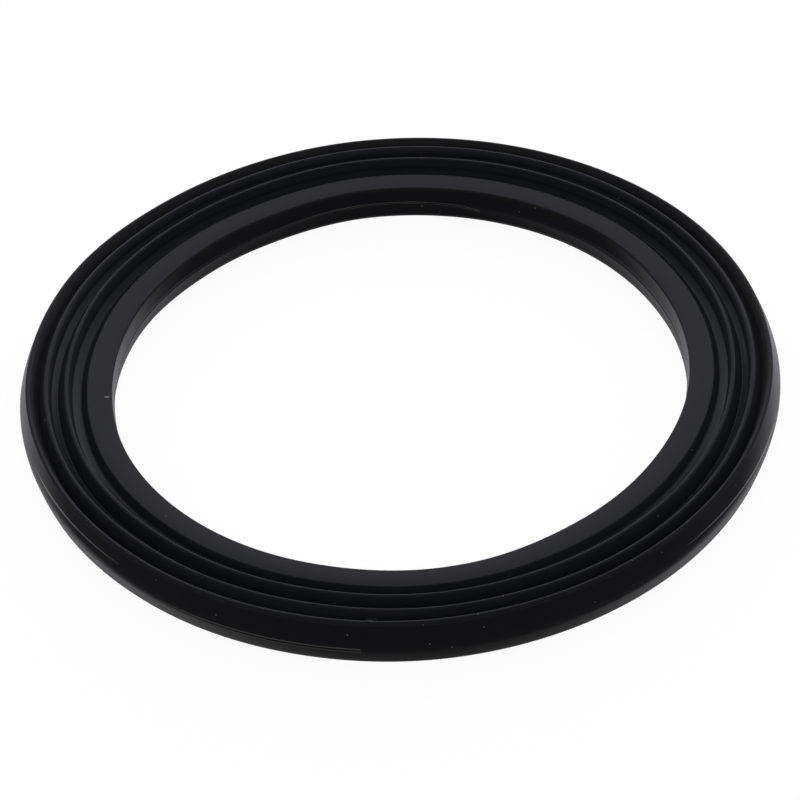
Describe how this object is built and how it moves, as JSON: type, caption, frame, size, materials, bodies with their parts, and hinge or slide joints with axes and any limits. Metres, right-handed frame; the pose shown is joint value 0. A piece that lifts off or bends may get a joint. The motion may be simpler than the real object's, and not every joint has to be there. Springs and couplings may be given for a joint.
{
  "type": "blender blade gasket",
  "caption": "Round black rubber sealing ring for a blender's blade base, with a flat land round its bore and raised concentric ribs towards its rim.",
  "frame": {"origin": "on the ring's axis, in the plane of the flat foot that it rests on", "axes": "+Z along the ring's axis, from the foot towards the ribs; the ring is round, so +X and +Y are any two square directions across it"},
  "size_m": [0.0748, 0.0748, 0.0053],
  "materials": {
    "rubber": "moulded black rubber, satin"
  },
  "bodies": {
    "root": {"gasket": "rubber"}
  },
  "joints": []
}
